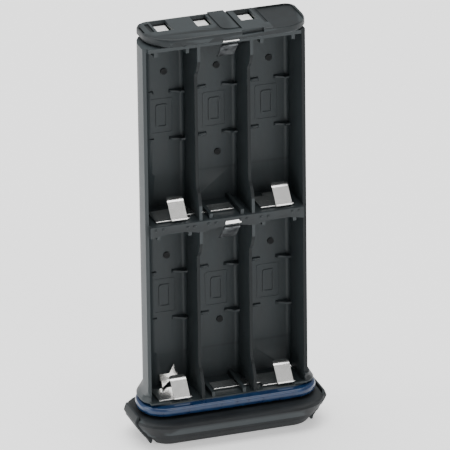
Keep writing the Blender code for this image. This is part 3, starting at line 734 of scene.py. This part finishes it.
# %% Sheet strips
def strip_mesh(name, course, middle, half_widths, thickness, finish):
    """Sheet strip along (y, z) points, with its own half width at each point."""
    maker = bmesh.new()
    rows = []
    for i, (y, z) in enumerate(course):
        before = Vector(course[max(i - 1, 0)])
        after = Vector(course[min(i + 1, len(course) - 1)])
        along = (after - before).normalized()
        off = Vector((-along.y, along.x)) * thickness / 2
        row = []
        for side, reach in ((1, 1), (1, -1), (-1, -1), (-1, 1)):
            point = (middle + reach * half_widths[i], y + side * off.x, z + side * off.y)
            row.append(maker.verts.new([c * MM for c in point]))
        rows.append(row)
    for row, following in zip(rows, rows[1:]):
        for j in range(4):
            k = (j + 1) % 4
            maker.faces.new((row[j], row[k], following[k], following[j]))
    maker.faces.new(rows[0])
    maker.faces.new(rows[-1])
    bmesh.ops.recalc_face_normals(maker, faces=maker.faces)
    mesh = bpy.data.meshes.new(name)
    maker.to_mesh(mesh)
    maker.free()
    return new_piece(name, mesh, finish)


print("strip tool ready")

# %% Leaf blades
LEAF_SHEET = 0.3                # thickness
HANGING = ("u2", "l2")
ROOT_BACK, ROOT_RISE = 0.2, 0.12        # from the leaf's box to the middle of its root
LIP_BACK, LIP_RISE = 0.15, 0.16         # and to the middle of its lip


def leaf_frame(name):
    """Box corners of a leaf, which way it faces, the place of its root and its finish."""
    low, high = span("leaf_" + name)
    if name in HANGING:
        # hanging leaves face away from the light and take the steel with painted shade
        return low, high, -1, (low.y + ROOT_BACK, high.z - ROOT_RISE), steel_painted_shade
    return low, high, 1, (low.y + ROOT_BACK, low.z + ROOT_RISE), nickel


def leaf_course(root, tip):
    """Side view (y, z) of one leaf, from its root at the front to its curled lip at the back."""
    reach, climb = tip[0] - root[0], tip[1] - root[1]
    # both lists hold shares of the reach and of the climb; the blade is straight, the lip curls
    blade = [(0.72 * t, 0.955 * t) for t in (0.0, 0.12, 0.3, 0.5, 0.7, 0.85, 0.95)]
    lip = [(0.70 + 0.30 * t, 0.91 + 0.09 * math.sin(math.pi * t * 0.62))
           for t in (0.25, 0.5, 0.75, 1.0)]
    return [(root[0] + reach * along, root[1] + climb * up) for along, up in blade + lip]


leaves = {}
for name in ("u1", "u2", "u3", "l1", "l2", "l3"):
    low, high, facing, root, finish = leaf_frame(name)
    tip_z = high.z - LIP_RISE if facing > 0 else low.z + LIP_RISE
    course = leaf_course(root, (high.y - LIP_BACK, tip_z))
    half = (high.x - low.x) / 2
    clipped = [half * share for share in (0.97, 0.88, 0.72)]
    widths = [half] * (len(course) - len(clipped)) + clipped
    leaf = strip_mesh("leaf_blade_" + name, course, (low.x + high.x) / 2, widths, LEAF_SHEET,
                      finish)
    soften(leaf, 0.06)
    leaves[name] = settle(leaf, "leaf_" + name, "leaf_" + name)
print("leaves:", sorted(leaves))

# %% [markdown]
# ## Rolled roots
# Below each blade the strip rolls forward and under, into its plate. The roll turns about the
# same line as the joint, so it belongs to the tray and the blade can swing without tearing it.
# It could be one mesh with the blade, but then the bend would have to be blended at every angle.

# %% Rolled roots
ROLL = 0.42                     # radius of the roll
ROOT_SHEET = 0.22
TAIL = 1.2                      # how far the end of the roll runs over the plate

for name in leaves:
    low, high, facing, (root_y, root_z), finish = leaf_frame(name)
    course = [(root_y + TAIL, root_z - facing * ROLL)]
    for degrees in range(-80, -220, -20):
        angle = math.radians(degrees)
        course.append((root_y + ROLL * math.cos(angle), root_z + facing * ROLL * math.sin(angle)))
    half = (high.x - low.x) / 2 - 0.1
    root_piece = strip_mesh("leaf_root_" + name, course, (low.x + high.x) / 2,
                            [half] * len(course), ROOT_SHEET, finish)
    smooth(root_piece)
    settle(root_piece, "tray")
print("roots:", len(leaves))

# %% [markdown]
# ## Wall clips
# The two hanging contacts also wrap up over the front of their end wall, and that short flat clip
# is what shows as a bright bar over the middle column. It is the same kind of strip as a leaf.

# %% Wall clips
# y from the wall's front edge and z from the bay's ceiling
CLIP_COURSE = ((0.5, 0.1), (0.1, 0.1), (-0.2, 0.25), (-0.38, 0.5), (-0.38, 1.1), (-0.26, 1.3))
CLIP_HALF = 2.4
CLIP_SHEET = 0.28

for name in HANGING:
    low, high = span("leaf_" + name)
    ceiling = high.z + 1.2
    course = [(RIB_FRONT + y, ceiling + z) for y, z in CLIP_COURSE]
    half_widths = [CLIP_HALF] * 5 + [CLIP_HALF - 0.25]
    clip = strip_mesh("wall_clip_" + name, course, (low.x + high.x) / 2, half_widths, CLIP_SHEET,
                      nickel)
    soften(clip, 0.06)
    settle(clip, "tray")
print("clips:", len(HANGING))

# %% [markdown]
# ## Contact plates, links and strap
# The plates and links are flat stampings, and the frame already has their outlines. A stamped
# edge is rolled over slightly, so the copies get a bevel of a tenth of a millimetre.

# %% Stamped contacts
CONTACTS = ("contact_u1_positive", "contact_l1_negative", "link_u1_to_u2", "link_u2_to_u3",
            "link_u3_to_l3", "link_l3_to_l2", "link_l2_to_l1", "return_tab", "return_strap")
PADS = ("terminal_positive", "terminal_sense", "terminal_negative")
for node in CONTACTS + PADS:
    finished_copy(node, "stamped_" + node, tin if node in PADS else nickel, "tray", 0.07)
print("stamped contacts:", len(CONTACTS), "pads:", len(PADS))

# %% [markdown]
# ## Top cap
# The cap closes the top of the tray. A raised key strip runs across it, a groove nearer the right
# end takes a rib in the radio, and the right end is set down inside a thin rim. At the left a
# single rib stands between two grooves, and the front lip is cut away in shallow arcs over the
# left and middle bays. Modelling the cap afresh would lose the frame's windows, so the grooves
# and arcs are cut from the copy, and the key strip is joined to it, before the bevel.

# %% Shapes for the cap
def block(x, y, z):
    """Box mesh from three (low, high) pairs in millimetres."""
    return prism([(x[0], y[0]), (x[1], y[0]), (x[1], y[1]), (x[0], y[1])], "Z", *z)


def key_plan(x, y, radius):
    """Outline of a rectangle (x, y) whose front left corner is rounded."""
    outline = [(x[1], y[0]), (x[1], y[1]), (x[0], y[1])]
    for i in range(7):
        angle = math.radians(180 + 90 * i / 6)
        outline.append((x[0] + radius + radius * math.cos(angle),
                        y[0] + radius + radius * math.sin(angle)))
    return outline


def round_cutter(x, z, radius, y):
    """Round cutter along Y."""
    turns = [math.tau * i / 24 for i in range(24)]
    circle = [(x + radius * math.cos(turn), z + radius * math.sin(turn)) for turn in turns]
    return prism(circle, "Y", *y)


cap_low, cap_high = span("top_cap")
TOP = cap_high.z
print("cap top", round(TOP, 2))

# %% [markdown]
# ## Cutting and joining the cap
# Each groove is a box, the key strip is a plan run upwards, and each arc in the lip is the side
# of a round bar. Sizes are read along the cap from the tray's middle.

# %% Cap moulding
CAP_GROOVES = (                 # x, y and depth
    ((-21.0, -19.7), (-0.5, 6.0), 0.45),
    ((-23.0, -22.6), (-0.3, 4.2), 0.5),
    ((11.9, 12.9), (-4.2, 8.6), 0.22),
)
KEY_X, KEY_Y, KEY_CORNER = (-1.3, 3.5), (-5.9, 8.2), 2.2
KEY_RISE = 0.3                  # how far the key strip stands over the cap
LIP_ARCS = ((-16.0, 122.2, 2.6), (-11.4, 121.4, 2.5), (-4.0, 121.9, 2.9))       # x, z, radius
LIP_DEPTH = 0.55

cap = merged_copy("top_cap", "cap_moulding", abs_black)
cut(cap, [block(x, y, (TOP - depth, TOP + 1)) for x, y, depth in CAP_GROOVES])
key_strip = prism(key_plan(KEY_X, KEY_Y, KEY_CORNER), "Z", TOP - KEY_RISE, TOP + KEY_RISE)
cut(cap, [key_strip], "UNION")
lip = (cap_low.y - 1, cap_low.y + LIP_DEPTH)
cut(cap, [round_cutter(x, z, radius, lip) for x, z, radius in LIP_ARCS])
soften(cap, 0.14)
settle(cap, "tray", "top_cap")
print("cap faces:", len(cap.data.polygons))

# %% [markdown]
# ## Seal
# The seal is one closed ring with a tall oval section. The frame's ring has few sides, so the
# copy is subdivided: the surface runs smooth round the corners and its highlight stays one line.

# %% Seal ring
seal = merged_copy("seal_ring", "silicone_seal", silicone_blue)
rounder = seal.modifiers.new("round", "SUBSURF")
rounder.levels = rounder.render_levels = 2
bake(seal)
seal.data.shade_smooth()
settle(seal, "tray", "seal_ring")
print("seal faces:", len(seal.data.polygons))

# %% [markdown]
# ## Base
# The base is a deep plug with a sloping skirt, moulded in a tougher plastic because it takes the
# knocks. Its edges are rounder than the tray's, so its copy gets the widest bevel.

# %% Base
base = finished_copy("base_cap", "base_moulding", nylon_black, "tray", 0.3)
print("base faces:", len(base.data.polygons))

# %% [markdown]
# ## Levers with grip ribs
# At each end a squeeze lever fills a slot in the skirt, and its finger pad has a few moulded ribs
# for grip. The ribs repeat down a slope, so they are instances along a line, laid across the
# lever. Each lever's ribs ride on that lever.

# %% Levers with grip ribs
RIB_TOP = (28.55, 6.2)          # distance from the middle, and height, of the first rib
RIB_BOTTOM = (26.2, 2.9)
RIB_WIDTH = 9.6
RIB_RADIUS = 0.32
RIB_COUNT = 5

grip_tree, given = node_tree("grip_ribs", [("Width", "Float"), ("Thick", "Float"),
                                           ("Top", "Vector"), ("Bottom", "Vector"),
                                           ("Count", "Int")])
slope = add_node(grip_tree, "GeometryNodeMeshLine", mode="END_POINTS",
                 links={"Count": given["Count"], "Start Location": given["Top"],
                        "Offset": given["Bottom"]})
rib = add_node(grip_tree, "GeometryNodeMeshCylinder", {"Vertices": 14, "Side Segments": 1},
               {"Radius": given["Thick"], "Depth": given["Width"]})
laid_rib = add_node(grip_tree, "GeometryNodeTransform", {"Rotation": QUARTER_TURN},
                    {"Geometry": rib.outputs["Mesh"]})
ribs = add_node(grip_tree, "GeometryNodeInstanceOnPoints",
                links={"Points": slope.outputs[0], "Instance": laid_rib.outputs[0]})
end_tree(grip_tree, ribs.outputs[0], nylon_black)

for side, name in ((-1, "left"), (1, "right")):
    finished_copy("latch_" + name, "lever_" + name, nylon_black, "latch_" + name, 0.2)
    ends = {label: [side * out * MM, 0.0, up * MM]
            for label, (out, up) in (("Top", RIB_TOP), ("Bottom", RIB_BOTTOM))}
    grip = grown("grip_ribs_" + name, grip_tree, [(0, 0, 0)],
                 {"Width": RIB_WIDTH * MM, "Thick": RIB_RADIUS * MM, "Count": RIB_COUNT, **ends},
                 nylon_black)
    smooth(grip)
    settle(grip, "latch_" + name)
print("levers: 2, ribs on each:", RIB_COUNT)

# %% [markdown]
# ## Springs and pins
# A coil spring pushes each lever out. Its wire follows a spiral, which Geometry Nodes draw from a
# few numbers. The pins are ground rod. The spring shortens a little when the lever is squeezed.

# %% Coil springs and pins
SPRING_WIRE = 0.17              # radius of the wire
SPRING_TURNS = 5.0

coil_tree, given = node_tree("coil_spring", [("Coil", "Float"), ("Wire", "Float"),
                                             ("Length", "Float"), ("Turns", "Float"),
                                             ("Place", "Vector"), ("Turn", "Vector")])
spiral = add_node(coil_tree, "GeometryNodeCurveSpiral", {"Resolution": 28},
                  {"Rotations": given["Turns"], "Start Radius": given["Coil"],
                   "End Radius": given["Coil"], "Height": given["Length"]})
wire = add_node(coil_tree, "GeometryNodeCurvePrimitiveCircle", {"Resolution": 10},
                {"Radius": given["Wire"]})
rod = add_node(coil_tree, "GeometryNodeCurveToMesh", {"Fill Caps": True},
               {"Curve": spiral.outputs[0], "Profile Curve": wire.outputs[0]})
placed = add_node(coil_tree, "GeometryNodeTransform",
                  links={"Geometry": rod.outputs[0], "Translation": given["Place"],
                         "Rotation": given["Turn"]})
end_tree(coil_tree, placed.outputs[0], steel)

for side, name in ((-1, "left"), (1, "right")):
    low, high = span("latch_spring_" + name)
    inner = low.x if side > 0 else high.x
    place = [(inner + side * SPRING_WIRE) * MM, (low.y + high.y) / 2 * MM,
             (low.z + high.z) / 2 * MM]
    spring = grown("coil_" + name, coil_tree, [(0, 0, 0)],
                   {"Coil": ((high.z - low.z) / 2 - SPRING_WIRE) * MM, "Wire": SPRING_WIRE * MM,
                    "Length": (high.x - low.x - 2 * SPRING_WIRE) * MM, "Turns": SPRING_TURNS,
                    "Place": place, "Turn": [0.0, side * math.radians(90), 0.0]}, steel)
    smooth(spring)
    settle(spring, "tray", "latch_spring_" + name)
    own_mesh(spring)
    finished_copy("latch_pin_" + name, "pin_" + name, steel, "tray", 0.12)
print("springs and pins: 2 each")

# %% [markdown]
# ## Screws
# Two small screws hold the base from below. Each head has a cross recess, which two crossed boxes
# cut in one go. The thread is hidden in the plastic, so the frame's plain shank is enough.

# %% Screws
RECESS_REACH, RECESS_HALF, RECESS_DEPTH = 1.1, 0.2, 0.8

for name in ("left", "right"):
    low, high = span("base_screw_" + name)
    x, y = (low.x + high.x) / 2, (low.y + high.y) / 2
    depth = (low.z - 1, low.z + RECESS_DEPTH)
    screw = merged_copy("base_screw_" + name, "screw_" + name, steel)
    cut(screw, [block((x - along, x + along), (y - over, y + over), depth)
                for along, over in ((RECESS_REACH, RECESS_HALF), (RECESS_HALF, RECESS_REACH))])
    soften(screw, 0.08)
    settle(screw, "tray", "base_screw_" + name)
print("screws: 2")

# %% [markdown]
# ## Board and its two parts
# The board, a resettable fuse and a sense resistor lie under the cap, out of sight until it is
# taken off. The frame's shapes are enough for them, so they only get their finish and soft edges.

# %% Board and its two parts
finished_copy("terminal_board", "board", board_green, "tray", 0.05)
finished_copy("resettable_fuse", "fuse_body", fuse_ochre, "tray", 0.12)
finished_copy("sense_resistor", "resistor_body", resistor_dark, "tray", 0.08)
print("board parts: 3")

# %% [markdown]
# ## Floor
# The floor is a wide sheet of matte white paper on a light table, so it glows a little by itself.
# Without the glow the paper would need so much light that the black plastic turned grey.

# %% Floor
FLOOR_HALF = 6                  # metres
TABLE_GLOW = 0.5

paper, tree, place, shader = start_material("matte_white_paper")
fibre = noise(tree, place, 0.8, 3.0)
fill_shader(tree, shader, {"Base Color": blend(tree, fibre, "#f8f8f8", "#fdfdfd")},
            {"Roughness": 0.9, "Emission Color": linear("#ffffff"),
             "Emission Strength": TABLE_GLOW})
corners = [(x * FLOOR_HALF, y * FLOOR_HALF, 0) for x, y in ((-1, -1), (1, -1), (1, 1), (-1, 1))]
floor_mesh = bpy.data.meshes.new("floor")
floor_mesh.from_pydata(corners, [], [(0, 1, 2, 3)])
floor = new_piece("floor", floor_mesh, paper)
print("floor", 2 * FLOOR_HALF, "m across")

# %% [markdown]
# ## Light
# A white sky fills every shadow, a broad panel above lights the paper and every top face, a
# small one in front reaches into the bays, and another at the left lifts the side wall. Small
# hard lamps would leave black shadows that a catalogue picture doesn't have.

# %% Lights
SKY_STRENGTH = 0.45
AIM = Vector((0, 0, 0.06))      # metres; the middle of the part
PANELS = (                      # name, place and size in metres, power in watts
    ("panel_above", (0.0, 0.3, 3.0), 3.0, 140.0),
    ("panel_front", (0.25, -1.2, 0.55), 0.6, 4.0),
    ("panel_left", (-0.9, 0.1, 0.25), 0.4, 3.0),
)

sky = bpy.data.worlds.new("studio")
bpy.context.scene.world = sky
sky.use_nodes = True
background = sky.node_tree.nodes["Background"]
background.inputs["Color"].default_value = linear("#ffffff")
background.inputs["Strength"].default_value = SKY_STRENGTH

for name, place, size, power in PANELS:
    light = bpy.data.lights.new(name, "AREA")
    light.shape = "SQUARE"
    light.size = size
    light.energy = power
    lamp = bpy.data.objects.new(name, light)
    bpy.context.scene.collection.objects.link(lamp)
    lamp.location = place
    lamp.rotation_euler = (AIM - Vector(place)).to_track_quat("-Z", "Y").to_euler()
print("lights: sky and", len(PANELS), "panels")
